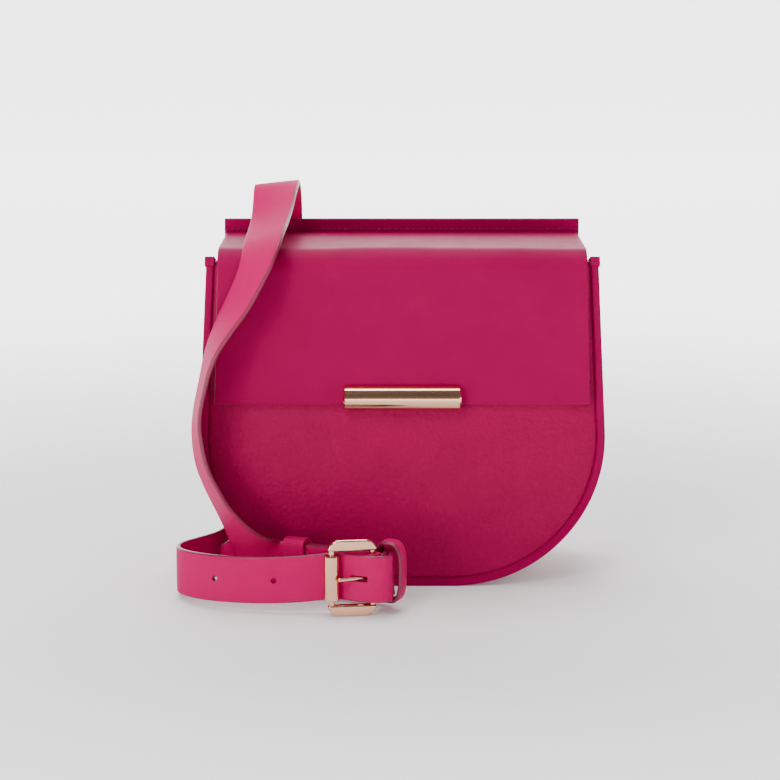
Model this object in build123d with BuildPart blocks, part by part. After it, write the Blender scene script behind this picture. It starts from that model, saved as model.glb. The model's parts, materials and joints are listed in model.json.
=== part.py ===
"""Crossbody purse: half-round leather bag with a front flap, a bar closure and a long buckled strap.

Millimetres, +Z up. The origin is the middle of the bag's base on the surface it stands on, and the
front of the bag faces -Y. The strap lies as it does when the bag is set down: one length comes up from
behind, crosses the flap and runs along the floor to the buckle, and the other goes round behind the bag.
"""

import os
from math import asin, atan, cos, degrees, hypot, radians, sin, tan

from build123d import *

# ---- bag body, seen from the front ----
top_half_width = 103.0  # half the width at the mouth
base_half_width = 112.6  # half the width the straight sides would reach at floor level
mouth_height = 178.0  # height of the sewn walls
corner_radius = 81.0  # the two big round lower corners
body_depth = 71.2  # outside of the front panel to outside of the back panel

# ---- sheet thicknesses and clearances ----
leather = 1.6
board = 1.0  # stiffening board inside each wall
lining = 0.8
layer_gap = 0.1  # between sheets that are sewn or glued together
moving_gap = 0.6  # between pieces that move past each other

# ---- edge binding and hems ----
rim_width = 4.2  # binding seen from the front
rim_stand = 1.8  # how far the binding stands out in front of the panel
rim_return = 4.5  # how far it runs back over the gusset
hem_drop = 3.6
hem_wall = 0.6
hem_height = 1.2
front_hem_height = 7.0
front_hem_wall = 0.8
front_mouth_drop = 2.6  # the front panel's top edge, below the mouth
mouth_fall = 18.0  # how far the gusset's top edge falls from front to back
stiffener_height = 62.0

# ---- flap ----
flap_side_gap = 6.0  # the bag's mouth is this much wider than the flap, each side
flap_flare = 2.5  # each side widens this much by the flap's lower edge
flap_stand = 6.4  # flap's front face in front of the front panel
flap_rise = 5.0  # flap's top above the mouth
flap_length = 82.0  # from its top down to its free edge
flap_bend_radius = 12.0
flap_lining_inset = 1.0
ridge_width = 3.0
ridge_height = 10.0
ridge_side_gap = 5.0
hinge_stand = 0.9  # hinge line behind the back panel
hinge_rise = 2.5  # hinge line above the mouth

# ---- bar closure ----
bar_length = 62.0
bar_radius = 6.8
bar_wall = 1.0
bar_chamfer = 0.8
bar_rise = 3.6  # bar's middle above the flap's free edge
back_plate_length = 56.0
back_plate_height = 11.0
back_plate_thickness = 1.4
screw_spacing = 44.0
screw_radius = 1.0
screw_clearance = 0.1
screw_head_radius = 2.0
screw_head_height = 0.8
screw_post_radius = 2.2
magnet_spacing = 20.0
magnet_radius = 3.5
magnet_height = 2.0
catch_disc_radius = 5.0
catch_disc_thickness = 0.9

# ---- inner slip pocket ----
pocket_width = 130.0
pocket_bottom = 55.0
pocket_drop = 38.0  # pocket's mouth below the bag's mouth
pocket_room = 5.4

# ---- strap rings and their tabs, at the back ----
ring_x = 70.0
ring_stand = 5.0  # ring's middle behind the back panel
ring_drop = 28.0  # ring's upper bar below the mouth
ring_wire = 3.0
ring_play = 1.0  # between the strap's edges and the ring, each side
ring_bar_spacing = 13.0
ring_corner_radius = 3.4
ring_inner_corner = 0.8
tab_width = 22.0
tab_drop = 6.0  # tab's top below the mouth
tab_pad = 3.2
tab_bore_radius = 2.1
rivet_head_radius = 3.0
rivet_head_height = 1.2
rivet_shank_radius = 1.2

# ---- strap ----
strap_width = 25.0
strap_thickness = 2.4
layer_spacing = 2.8  # centre to centre where two lengths lie together
strap_end_bottom = 108.0
strap_end_rivet_z = 114.0
tip_width = 12.0
hole_radius = 1.5
prong_slot_length = 7.5
prong_slot_along = 4.8  # slot's middle from the start of its run

# ---- buckle ----
heel_x = -15.5
heel_y = -92.0
buckle_z = 20.5
bar_spacing = 21.0  # heel bar to roller bar
roller_forward = 2.8  # how far the roller bar sits in front of the heel bar
buckle_bar_radius = 1.6
buckle_play = 1.8  # between the strap's edges and the frame, each side
buckle_rail = 5.9  # the frame's top and bottom rails
buckle_thickness = 4.0
buckle_side = 2.2  # frame's end beyond each bar's centre
buckle_corner_radius = 6.0
buckle_edge_fillet = 1.1
roller_radius = 4.0
roller_inset = 1.0  # the roller is this much shorter than the strap is wide
roller_clearance = 0.1
prong_radius = 1.1
prong_length = 19.0
prong_sleeve_radius = 2.9
prong_sleeve_height = 3.4
loop_inner_radius = 1.9
loop_wall = 2.0
loop_tail = 4.2

# ---- keepers ----
keeper_wall = 2.0
fixed_keeper_centre = (-5.5, -84.5, 21.5)
fixed_keeper_opening = 12.0
fixed_keeper_play = 2.0  # above and below the strap
fixed_keeper_depth = 8.0
sliding_keeper_along = 41.5  # from the near end of the straight return run
sliding_keeper_length = 12.0
sliding_keeper_play = 0.6  # above and below the strap
sliding_keeper_slack = 1.1  # outside each of the two lengths
keeper_corner_radius = 1.6

# ---- routes of the strap: centre of the strap, then the direction across its width ----
UP = (0, 0, 1)
RIGHT = (1, 0, 0)
BACK = (0, 1, 0)
buckle_route = [
    ((-70, 40.6, 107.9), RIGHT),
    ((-70, 40.6, 90), RIGHT),
    ((-69.5, 42.5, 66), RIGHT),
    ((-69, 47.5, 52), RIGHT),
    ((-68.5, 55.5, 46.5), RIGHT),
    ((-68.5, 63.5, 51), RIGHT),
    ((-68, 66.5, 64), RIGHT),
    ((-68, 65.3, 90), RIGHT),
    ((-68, 61, 125), RIGHT),
    ((-68, 55.5, 160), RIGHT),
    ((-68, 51, 190), RIGHT),
    ((-68, 44.5, 203), RIGHT),
    ((-68.3, 33, 210), (0.99, 0.03, 0.13)),
    ((-68.3, 20, 211), (1, -0.03, 0.08)),
    ((-68.8, 8, 205.5), (0.95, -0.19, 0.25)),
    ((-69.7, -6, 197.5), (0.91, -0.24, 0.35)),
    ((-71.2, -24, 192), (0.88, -0.28, 0.33)),
    ((-72.3, -39, 188.6), (0.84, -0.4, 0.32)),
    ((-74.2, -50, 181.6), (0.79, -0.52, 0.28)),
    ((-78.2, -53.1, 171.5), (0.63, -0.78, 0.05)),
    ((-84.7, -54.2, 158), (0.47, -0.86, -0.19)),
    ((-93.4, -54.9, 144), (0.28, -0.93, -0.23)),
    ((-100.6, -55.2, 130), (0.18, -0.97, -0.14)),
    ((-105.4, -55.2, 110), (0.13, -0.98, -0.13)),
    ((-107.8, -53.5, 98), (0.15, -0.97, -0.18)),
    ((-108.3, -52.4, 86), (0.25, -0.96, -0.07)),
    ((-106.1, -52.2, 70), (0.31, -0.95, 0.09)),
    ((-100.6, -52.4, 57.5), (0.3, -0.93, 0.24)),
    ((-94.5, -53.4, 46), (0.26, -0.9, 0.34)),
    ((-86.6, -55, 34.5), (0.34, -0.78, 0.52)),
    ((-78.5, -54.2, 24.5), (0.44, -0.5, 0.73)),
    ((-71.4, -51.9, 18.8), (0.24, -0.15, 0.95)),
    ((-64, -53.43, 16.5), UP),
    ((-40, -63.43, 16.5), UP),
    ((-18, -72.6, 16.5), UP),
    ((-13, -74.7, 17.4), UP),
    ((-10, -77, 19.3), UP),
    ((-8.9, -81, 20.6), UP),
    ((-8.9, -87.4, 20.6), UP),
    ((-8.9, -89.6, 20.5), UP),
    ((-9.2, -90.7, 20.5), UP),
    ((-9.9, -91.6, 20.5), UP),
    ((-10.6, -92, 20.5), UP),
    ((-11.2, -92, 20.5), UP),
]
flap_stretch = (10, 24)  # first and last station of the stretch that lies over the flap
long_route = [
    ((-97, -36.4, 16.5), UP),
    ((-88, -40.6, 16.5), UP),
    ((-62.92, -50.85, 16.5), UP),
    ((-38.92, -60.85, 16.5), UP),
    ((-15.5, -70.6, 16.6), UP),
    ((-9, -73.1, 17.5), UP),
    ((-6, -77, 19.3), UP),
    ((-5.8, -81, 20.6), UP),
    ((-5.8, -91.5, 20.5), UP),
    ((-7, -95.4, 20.5), UP),
    ((-10, -97.4, 20.5), UP),
    ((-18.5, -97.4, 20.5), UP),
    ((-31, -90.6, 20.5), UP),
    ((-37.5, -89, 20.2), UP),
    ((-56, -88.8, 18), UP),
    ((-78, -86.4, 17), UP),
    ((-96, -80.6, 16.4), UP),
    ((-109, -72.2, 15.8), UP),
    ((-117.3, -62, 15.2), UP),
    ((-119.3, -52, 14.7), UP),
    ((-116, -42.5, 14.3), UP),
    ((-107, -31, 14), UP),
    ((-99, -19, 13.7), UP),
    ((-95.5, -3, 13.5), UP),
    ((-95.7, 16, 13.4), UP),
    ((-95.3, 34, 13.3), UP),
    ((-91.5, 48, 13.2), UP),
    ((-82, 57, 13.1), UP),
    ((-66, 60.5, 13), UP),
    ((-46, 61.3, 12.9), UP),
    ((-26, 60.5, 12.3), (0, 0.35, 0.93)),
    ((-8, 60, 9), (0, 0.8, 0.6)),
    ((8, 59.5, 4.2), (0, 0.98, 0.2)),
    ((26, 59, 2.2), BACK),
    ((46, 58.2, 2.4), BACK),
    ((60, 57, 6.5), BACK),
    ((69, 55.5, 16), BACK),
    ((72.5, 53.5, 30), (-0.2, 0.97, 0.05)),
    ((73, 51, 45), (-0.5, 0.86, 0.06)),
    ((72.3, 47.5, 60), (-0.8, 0.6, 0)),
    ((71, 43.5, 75), (-0.96, 0.25, 0)),
    ((70, 40.6, 92), (-1, 0, 0)),
    ((70, 40.6, 107.9), (-1, 0, 0)),
]
prong_run = 11  # the station where the run through the prong's slot starts
spare_hole_spots = [(-97.3, -79.9), (-66.5, -87.8), (-33, -63.4), (-67, -49.2)]

# ---- places that follow from the sizes above ----
flap_half_width = top_half_width - flap_side_gap
flap_reach = body_depth / 2 + flap_stand
flap_top = mouth_height + flap_rise
flap_bottom = flap_top - flap_length
bar_centre_z = flap_bottom + bar_rise
ridge_half_width = top_half_width - ridge_side_gap
hinge_y = body_depth / 2 + hinge_stand
hinge_z = mouth_height + hinge_rise
pocket_top = mouth_height - pocket_drop
ring_y = body_depth / 2 + ring_stand
ring_z = mouth_height - ring_drop
ring_inner_width = strap_width + 2 * ring_play
tab_top = mouth_height - tab_drop
roller_length = strap_width - roller_inset
buckle_inner_height = strap_width + 2 * buckle_play
buckle_outer_height = buckle_inner_height + 2 * buckle_rail
fixed_keeper_room = (fixed_keeper_opening, strap_width + 2 * fixed_keeper_play)
sliding_keeper_room = (
    layer_spacing + strap_thickness + 2 * sliding_keeper_slack,
    strap_width + 2 * sliding_keeper_play,
)
panel_front = -body_depth / 2
panel_back = panel_front + leather
board_back = panel_back + layer_gap + board
lining_back = board_back + layer_gap + lining
gusset_half_depth = -panel_front - rim_return - layer_gap
inner_half_depth = -board_back + layer_gap
stiffener_inset = leather + layer_gap
gusset_lining_inset = stiffener_inset + board + layer_gap
lining_inset = gusset_lining_inset + lining + layer_gap
rim_front = panel_front - layer_gap - rim_stand
hem_front = rim_front - layer_gap - hem_wall
rear_lining_face = -lining_back
flap_inner_gap = leather + layer_gap
buckle_tilt = degrees(atan(roller_forward / bar_spacing))
roller_reach = hypot(bar_spacing, roller_forward)
prong_lift = degrees(asin((roller_radius + prong_radius + roller_clearance) / roller_reach))
return_run_start = Vector(-18, -72.6, 16.5)
return_run_end = Vector(-64, -53.43, 16.5)
return_run_step = Vector(layer_spacing / 2 * 0.385, layer_spacing / 2 * 0.923, 0)

os.makedirs("parts", exist_ok=True)


def finish(piece, name):
    """Label one sub-part and write it to its own file."""
    piece.label = name
    export_step(piece, f"parts/{name}.step")


def at_depth(y):
    """The upright plane at depth y whose extrusions grow towards the front."""
    return Plane.XZ.offset(-y)


def body_outline(inset, top):
    """The bag's front view, moved in by inset all round and open above top."""
    above = 2 * mouth_height
    narrowing = (base_half_width - top_half_width) / mouth_height
    half_above = base_half_width - narrowing * above
    with BuildSketch() as outline:
        with BuildLine():
            Polyline(
                (-base_half_width, 0),
                (base_half_width, 0),
                (half_above, above),
                (-half_above, above),
                close=True,
            )
        make_face()
        fillet(outline.vertices().group_by(Axis.Y)[0], corner_radius)
        if inset:
            offset(amount=-inset)
        with Locations((0, top + above)):
            Rectangle(3 * above, 2 * above, mode=Mode.SUBTRACT)
    return outline.sketch


def body_band(outer_inset, inner_inset, top):
    """A strip of the front view that follows the bag's edge from mouth to mouth."""
    with BuildSketch() as band:
        add(body_outline(outer_inset, top))
        add(body_outline(inner_inset, top + 1), mode=Mode.SUBTRACT)
    return band.sketch


def half_width_at(z):
    """Half the width of the bag's straight side at height z."""
    return base_half_width - (base_half_width - top_half_width) * z / mouth_height


def below_mouth(rise):
    """Everything under the gusset's sloping top edge, with that edge moved up by rise."""
    front_z = mouth_height + rise
    back_z = front_z - mouth_fall
    with BuildPart() as region:
        with BuildSketch(Plane.YZ.offset(-2 * base_half_width)):
            with BuildLine():
                Polyline(
                    (hem_front, -mouth_height),
                    (-hem_front, -mouth_height),
                    (-hem_front, back_z),
                    (hem_front, front_z),
                    close=True,
                )
            make_face()
        extrude(amount=4 * base_half_width)
    return region.part


# ---- walls of the bag: leather outside, board, lining inside ----
wall_sheets = [
    ("panel", 0, leather, stiffener_inset),
    ("board", leather + layer_gap, board, stiffener_inset),
    ("lining", leather + board + 2 * layer_gap, lining, lining_inset),
]
front_wall_top = mouth_height - front_mouth_drop
for sheet, depth_in, thickness, inset in wall_sheets:
    with BuildPart() as front_sheet:
        with BuildSketch(at_depth(panel_front + depth_in + thickness)):
            add(body_outline(inset, front_wall_top))
        extrude(amount=thickness)
        if sheet == "board":
            with BuildSketch(at_depth(panel_front + depth_in + thickness)):
                with GridLocations(magnet_spacing * 2, 1, 2, 1):
                    with Locations((0, bar_centre_z)):
                        Circle(catch_disc_radius + layer_gap)
            extrude(amount=thickness, mode=Mode.SUBTRACT)
    finish(front_sheet.part, f"front_{sheet}")

back_side_top = mouth_height - mouth_fall
for sheet, depth_in, thickness, inset in wall_sheets:
    with BuildPart() as back_sheet:
        with BuildSketch(at_depth(-panel_front - depth_in)):
            add(body_outline(inset, back_side_top))
            sheet_top = hinge_z - 2 * layer_gap if sheet == "panel" else mouth_height
            with Locations((0, sheet_top)):
                Rectangle(
                    2 * (ridge_half_width - inset),
                    2 * mouth_fall,
                    align=(Align.CENTER, Align.MAX),
                )
        extrude(amount=thickness)
    finish(back_sheet.part, f"back_{sheet}")

with BuildPart() as catch_discs:
    with BuildSketch(at_depth(panel_back + layer_gap + catch_disc_thickness)):
        with GridLocations(magnet_spacing * 2, 1, 2, 1):
            with Locations((0, bar_centre_z)):
                Circle(catch_disc_radius)
    extrude(amount=catch_disc_thickness)
finish(catch_discs.part, "catch_discs")

# ---- gusset: one strip of leather from mouth to mouth round the sides and base ----
with BuildPart() as gusset:
    with BuildSketch(at_depth(gusset_half_depth)):
        add(body_band(0, leather, mouth_height))
    extrude(amount=2 * gusset_half_depth)
    add(below_mouth(0), mode=Mode.INTERSECT)
finish(gusset.part, "gusset")

with BuildPart() as gusset_stiffener:
    with BuildSketch(at_depth(inner_half_depth - layer_gap)):
        add(body_band(stiffener_inset, stiffener_inset + board, stiffener_height))
    extrude(amount=2 * (inner_half_depth - layer_gap))
finish(gusset_stiffener.part, "gusset_stiffener")

with BuildPart() as gusset_lining:
    with BuildSketch(at_depth(inner_half_depth - layer_gap)):
        add(body_band(gusset_lining_inset, gusset_lining_inset + lining, front_wall_top))
    extrude(amount=2 * (inner_half_depth - layer_gap))
    add(below_mouth(-front_mouth_drop), mode=Mode.INTERSECT)
finish(gusset_lining.part, "gusset_lining")

# ---- bindings: an L-shaped edge round each panel, over the seam with the gusset ----
for side, sign in (("front", 1), ("back", -1)):
    with BuildPart() as binding:
        face_near = sign * (panel_front - layer_gap)
        face_far = sign * rim_front
        with BuildSketch(at_depth(max(face_near, face_far))):
            add(body_band(0, rim_width, mouth_height))
        extrude(amount=rim_stand)
        wrap_near = sign * (panel_front - layer_gap)
        wrap_far = sign * (panel_front - layer_gap + rim_return)
        with BuildSketch(at_depth(max(wrap_near, wrap_far))):
            add(body_band(0, leather, mouth_height))
        extrude(amount=rim_return)
        add(below_mouth(0), mode=Mode.INTERSECT)
    finish(binding.part, f"{side}_binding")

with BuildPart() as front_top_hem:
    hem_half = half_width_at(mouth_height) - rim_width - 2 * layer_gap
    hem_middle_y = (panel_front + lining_back) / 2
    hem_middle_z = front_wall_top - front_hem_height / 2
    hem_room = lining_back - panel_front + 2 * layer_gap
    hem_height_outside = front_hem_height + 2 * front_hem_wall
    with BuildSketch(Plane.YZ.offset(-hem_half)):
        with Locations((hem_middle_y, hem_middle_z)):
            Rectangle(hem_room + 2 * front_hem_wall, hem_height_outside)
        with Locations((hem_middle_y, hem_middle_z - front_hem_wall)):
            Rectangle(hem_room, hem_height_outside, mode=Mode.SUBTRACT)
    extrude(amount=2 * hem_half)
    with BuildSketch(at_depth(0)):
        add(body_band(gusset_lining_inset - layer_gap, lining_inset, mouth_height))
    extrude(amount=inner_half_depth, mode=Mode.SUBTRACT)
finish(front_top_hem.part, "front_top_hem")

with BuildPart() as hem_core:
    with BuildSketch(at_depth(-rim_front + layer_gap)):
        add(body_outline(-layer_gap, mouth_height + layer_gap))
    extrude(amount=2 * (-rim_front + layer_gap))
    add(below_mouth(layer_gap), mode=Mode.INTERSECT)

with BuildPart() as gusset_hems:
    with BuildSketch(at_depth(-hem_front)):
        add(body_band(-hem_wall - layer_gap, rim_width + layer_gap, mouth_height + hem_height))
    extrude(amount=-2 * hem_front)
    add(below_mouth(layer_gap + hem_height), mode=Mode.INTERSECT)
    add(below_mouth(-hem_drop), mode=Mode.SUBTRACT)
    add(hem_core.part, mode=Mode.SUBTRACT)
finish(gusset_hems.part, "gusset_hems")

# ---- slip pocket: a shallow tray of lining leather, open at the top ----
with BuildPart() as inner_pocket:
    with BuildSketch(Plane.XY.offset(pocket_bottom)):
        with Locations((0, rear_lining_face - layer_gap - (pocket_room + lining) / 2)):
            Rectangle(pocket_width, pocket_room + lining)
    extrude(amount=pocket_top - pocket_bottom)
    with BuildSketch(Plane.XY.offset(pocket_bottom + lining)):
        with Locations((0, rear_lining_face - layer_gap - pocket_room / 2)):
            Rectangle(pocket_width - 2 * lining, pocket_room)
    extrude(amount=pocket_top - pocket_bottom, mode=Mode.SUBTRACT)
finish(inner_pocket.part, "inner_pocket")


# ---- flap: a sheet bent over the top, hinged at the back ----
def flap_section(depth_in, thickness, rear, bottom):
    """The flap's side view at depth_in below its outer face, thickness thick."""
    outer_radius = flap_bend_radius - depth_in
    with BuildSketch() as section:
        with BuildLine():
            outer = FilletPolyline(
                (rear, flap_top - depth_in),
                (-flap_reach + depth_in, flap_top - depth_in),
                (-flap_reach + depth_in, bottom),
                radius=outer_radius,
            )
            inner = FilletPolyline(
                (rear, flap_top - depth_in - thickness),
                (-flap_reach + depth_in + thickness, flap_top - depth_in - thickness),
                (-flap_reach + depth_in + thickness, bottom),
                radius=outer_radius - thickness,
            )
            Line(outer @ 0, inner @ 0)
            Line(outer @ 1, inner @ 1)
        make_face()
    return section.sketch


def flap_front(inset):
    """The flap's front view, inset at its sides, slightly wider at its lower edge."""
    top_half = flap_half_width - inset
    bottom_half = flap_half_width + flap_flare - inset
    with BuildSketch() as front:
        with BuildLine():
            Polyline(
                (-top_half, 2 * flap_top),
                (-top_half, flap_top - flap_bend_radius),
                (-bottom_half, flap_bottom),
                (bottom_half, flap_bottom),
                (top_half, flap_top - flap_bend_radius),
                (top_half, 2 * flap_top),
                close=True,
            )
        make_face()
    return front.sketch


flap_sheets = [
    ("flap_outer", 0, leather, 0, flap_bottom),
    ("flap_lining", flap_inner_gap, lining, flap_lining_inset, flap_bottom + flap_lining_inset),
]
flap_rear = hinge_y - ridge_width - layer_gap
for name, depth_in, thickness, inset, bottom in flap_sheets:
    with BuildPart() as flap_sheet:
        with BuildSketch(Plane.YZ.offset(-2 * flap_half_width)):
            add(flap_section(depth_in, thickness, flap_rear, bottom))
        extrude(amount=4 * flap_half_width)
        with BuildSketch(at_depth(body_depth)):
            add(flap_front(inset))
        extrude(amount=2 * body_depth, mode=Mode.INTERSECT)
        with BuildSketch(at_depth(-flap_reach + depth_in + thickness + 1)):
            with GridLocations(screw_spacing, 1, 2, 1):
                with Locations((0, bar_centre_z)):
                    Circle(screw_radius + screw_clearance)
        extrude(amount=thickness + 2, mode=Mode.SUBTRACT)
    finish(flap_sheet.part, name)

with BuildPart() as hinge_ridge:
    with BuildSketch(Plane.XY.offset(hinge_z)):
        with Locations((0, hinge_y - ridge_width / 2)):
            Rectangle(2 * ridge_half_width, ridge_width)
    extrude(amount=ridge_height)
    fillet(hinge_ridge.edges().filter_by(Axis.X).group_by(Axis.Z)[-1], ridge_width / 3)
finish(hinge_ridge.part, "hinge_ridge")

# ---- bar closure on the flap's lower edge ----
bar_back = -flap_reach - layer_gap
plate_front = -flap_reach + flap_inner_gap + lining + layer_gap
with BuildPart() as bar_shell:
    with BuildSketch(Plane.YZ.offset(-bar_length / 2)):
        with Locations((bar_back, bar_centre_z)):
            Circle(bar_radius)
        with Locations((bar_back + bar_radius, bar_centre_z)):
            Rectangle(2 * bar_radius, 4 * bar_radius, mode=Mode.SUBTRACT)
    extrude(amount=bar_length)
    chamfer(bar_shell.faces().filter_by(Axis.X).edges().filter_by(GeomType.CIRCLE), bar_chamfer)
    with BuildSketch(Plane.YZ.offset(-bar_length / 2 + 2 * bar_wall)):
        with Locations((bar_back, bar_centre_z)):
            Circle(bar_radius - bar_wall)
        with Locations((bar_back + bar_radius, bar_centre_z)):
            Rectangle(2 * bar_radius, 4 * bar_radius, mode=Mode.SUBTRACT)
    extrude(amount=bar_length - 4 * bar_wall, mode=Mode.SUBTRACT)
    for post_radius, reach, mode in (
        (screw_post_radius, bar_radius - bar_wall / 2, Mode.ADD),
        (screw_radius + screw_clearance, bar_radius - 2 * bar_wall, Mode.SUBTRACT),
    ):
        with BuildSketch(at_depth(bar_back)):
            with GridLocations(screw_spacing, 1, 2, 1):
                with Locations((0, bar_centre_z)):
                    Circle(post_radius)
        extrude(amount=reach, mode=mode)
finish(bar_shell.part, "bar_shell")

with BuildPart() as bar_back_plate:
    with BuildSketch(at_depth(plate_front + back_plate_thickness)):
        with Locations((0, bar_centre_z)):
            RectangleRounded(back_plate_length, back_plate_height, back_plate_height / 4)
        with GridLocations(screw_spacing, 1, 2, 1):
            with Locations((0, bar_centre_z)):
                Circle(screw_radius + screw_clearance, mode=Mode.SUBTRACT)
    extrude(amount=back_plate_thickness)
finish(bar_back_plate.part, "bar_back_plate")

with BuildPart() as bar_screws:
    head_back = plate_front + back_plate_thickness + screw_head_height
    with BuildSketch(at_depth(head_back)):
        with GridLocations(screw_spacing, 1, 2, 1):
            with Locations((0, bar_centre_z)):
                Circle(screw_head_radius)
    extrude(amount=screw_head_height)
    with BuildSketch(at_depth(head_back)):
        with GridLocations(screw_spacing, 1, 2, 1):
            with Locations((0, bar_centre_z)):
                Circle(screw_radius)
    extrude(amount=head_back - bar_back + bar_radius / 2)
finish(bar_screws.part, "bar_screws")

with BuildPart() as bar_magnets:
    with BuildSketch(at_depth(bar_back)):
        with GridLocations(magnet_spacing, 1, 2, 1):
            with Locations((0, bar_centre_z)):
                Circle(magnet_radius)
    extrude(amount=magnet_height)
finish(bar_magnets.part, "bar_magnets")

# ---- strap rings, the tabs that hold them, and the strap ends looped through them ----
for side, sign in (("left", -1), ("right", 1)):
    middle_x = sign * ring_x
    with BuildPart() as ring_tab:
        with BuildSketch(Plane.YZ.offset(middle_x - tab_width / 2)):
            with Locations((-panel_front + layer_gap + tab_pad / 2, (tab_top + ring_z) / 2)):
                Rectangle(tab_pad, tab_top - ring_z)
            with Locations((ring_y, ring_z)):
                Circle(ring_y + panel_front - layer_gap)
                Circle(tab_bore_radius, mode=Mode.SUBTRACT)
        extrude(amount=tab_width)
        with BuildSketch(at_depth(-panel_front + layer_gap + tab_pad)):
            with Locations((middle_x, tab_top - 3 * rivet_head_radius)):
                Circle(rivet_shank_radius + layer_gap)
        extrude(amount=tab_pad, mode=Mode.SUBTRACT)
    finish(ring_tab.part, f"ring_tab_{side}")

    with BuildPart() as strap_ring:
        with BuildSketch(at_depth(ring_y + ring_wire / 2)):
            with Locations((middle_x, ring_z - ring_bar_spacing / 2)):
                RectangleRounded(
                    ring_inner_width + 2 * ring_wire, ring_bar_spacing + ring_wire, ring_corner_radius
                )
                RectangleRounded(
                    ring_inner_width,
                    ring_bar_spacing - ring_wire,
                    ring_inner_corner,
                    mode=Mode.SUBTRACT,
                )
        extrude(amount=ring_wire)
        fillet(strap_ring.faces().filter_by(Axis.Y).edges(), ring_wire / 3)
    finish(strap_ring.part, f"strap_ring_{side}")

    with BuildPart() as strap_end:
        with BuildSketch(Plane.YZ.offset(middle_x - strap_width / 2)):
            with Locations((ring_y, ring_z - ring_bar_spacing)):
                Circle(tab_bore_radius + strap_thickness)
            with Locations((ring_y, (ring_z - ring_bar_spacing + strap_end_bottom) / 2)):
                Rectangle(2 * strap_thickness, ring_z - ring_bar_spacing - strap_end_bottom)
            with Locations((ring_y, ring_z - ring_bar_spacing)):
                Circle(tab_bore_radius, mode=Mode.SUBTRACT)
        extrude(amount=strap_width)
        with BuildSketch(at_depth(ring_y + strap_thickness)):
            with Locations((middle_x, strap_end_rivet_z)):
                Circle(rivet_shank_radius + layer_gap)
        extrude(amount=2 * strap_thickness, mode=Mode.SUBTRACT)
    finish(strap_end.part, f"strap_end_{side}")

with BuildPart() as tab_rivets:
    with BuildSketch(at_depth(-panel_front + layer_gap + tab_pad)):
        with GridLocations(2 * ring_x, 1, 2, 1):
            with Locations((0, tab_top - 3 * rivet_head_radius)):
                Circle(rivet_shank_radius)
    extrude(amount=tab_pad)
    with BuildSketch(at_depth(-panel_front + layer_gap + tab_pad + rivet_head_height)):
        with GridLocations(2 * ring_x, 1, 2, 1):
            with Locations((0, tab_top - 3 * rivet_head_radius)):
                Circle(rivet_head_radius)
    extrude(amount=rivet_head_height)
    fillet(tab_rivets.faces().sort_by(Axis.Y)[-1].edges(), rivet_head_height / 2)
    fillet(tab_rivets.faces().sort_by(Axis.Y)[-1].edges(), rivet_head_height / 2)
finish(tab_rivets.part, "tab_rivets")

with BuildPart() as strap_end_rivets:
    for head_near, length, radius in (
        (ring_y + strap_thickness + rivet_head_height, rivet_head_height, rivet_head_radius),
        (ring_y + strap_thickness, 2 * strap_thickness, rivet_shank_radius),
        (ring_y - strap_thickness, rivet_head_height, rivet_head_radius),
    ):
        with BuildSketch(at_depth(head_near)):
            with GridLocations(2 * ring_x, 1, 2, 1):
                with Locations((0, strap_end_rivet_z)):
                    Circle(radius)
        extrude(amount=length)
finish(strap_end_rivets.part, "strap_end_rivets")


# ---- the strap's lengths: flat bands lofted through their stations ----
def route_planes(route):
    """A plane at each station, square to the route there, with its x along the strap's width."""
    points = [Vector(*centre) for centre, across in route]
    planes = []
    for index, (centre, across) in enumerate(route):
        before = points[max(index - 1, 0)]
        after = points[min(index + 1, len(points) - 1)]
        into = (points[index] - before).normalized() if index else Vector(0, 0, 0)
        out = (after - points[index]).normalized() if index < len(points) - 1 else Vector(0, 0, 0)
        planes.append(Plane(origin=points[index], x_dir=Vector(*across), z_dir=into + out))
    return planes


def band(planes, first_width=strap_width):
    """One length of strap as a closed flat band, in straight runs between its planes."""
    with BuildPart() as strip:
        for index, (near, far) in enumerate(zip(planes, planes[1:])):
            with BuildSketch(near):
                Rectangle(strap_width if index else first_width, strap_thickness)
            with BuildSketch(far):
                Rectangle(strap_width, strap_thickness)
            loft(ruled=True)
    return strip.part


def describe(name, piece, route):
    """Print a length's volume beside its section times its length, and its tightest turn."""
    points = [Vector(*centre) for centre, across in route]
    runs = [after - before for before, after in zip(points, points[1:])]
    length = sum(run.length for run in runs)
    turns = [(one.get_angle(two), min(one.length, two.length)) for one, two in zip(runs, runs[1:])]
    radius = min(0.5 * run / tan(radians(turn) / 2) for turn, run in turns if turn > 0.5)
    expected = length * strap_width * strap_thickness
    print(f"{name}: {length:.0f} mm long, volume {piece.volume:.0f} of {expected:.0f} mm3,", end=" ")
    print(f"tightest radius {radius:.1f} mm")


buckle_planes = route_planes(buckle_route)
flap_first, flap_last = flap_stretch
for name, first, last in (
    ("strap_rear", 0, flap_first),
    ("strap_over_flap", flap_first, flap_last),
    ("strap_down", flap_last, len(buckle_route) - 1),
):
    piece = band(buckle_planes[first : last + 1])
    describe(name, piece, buckle_route[first : last + 1])
    finish(piece, name)

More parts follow.
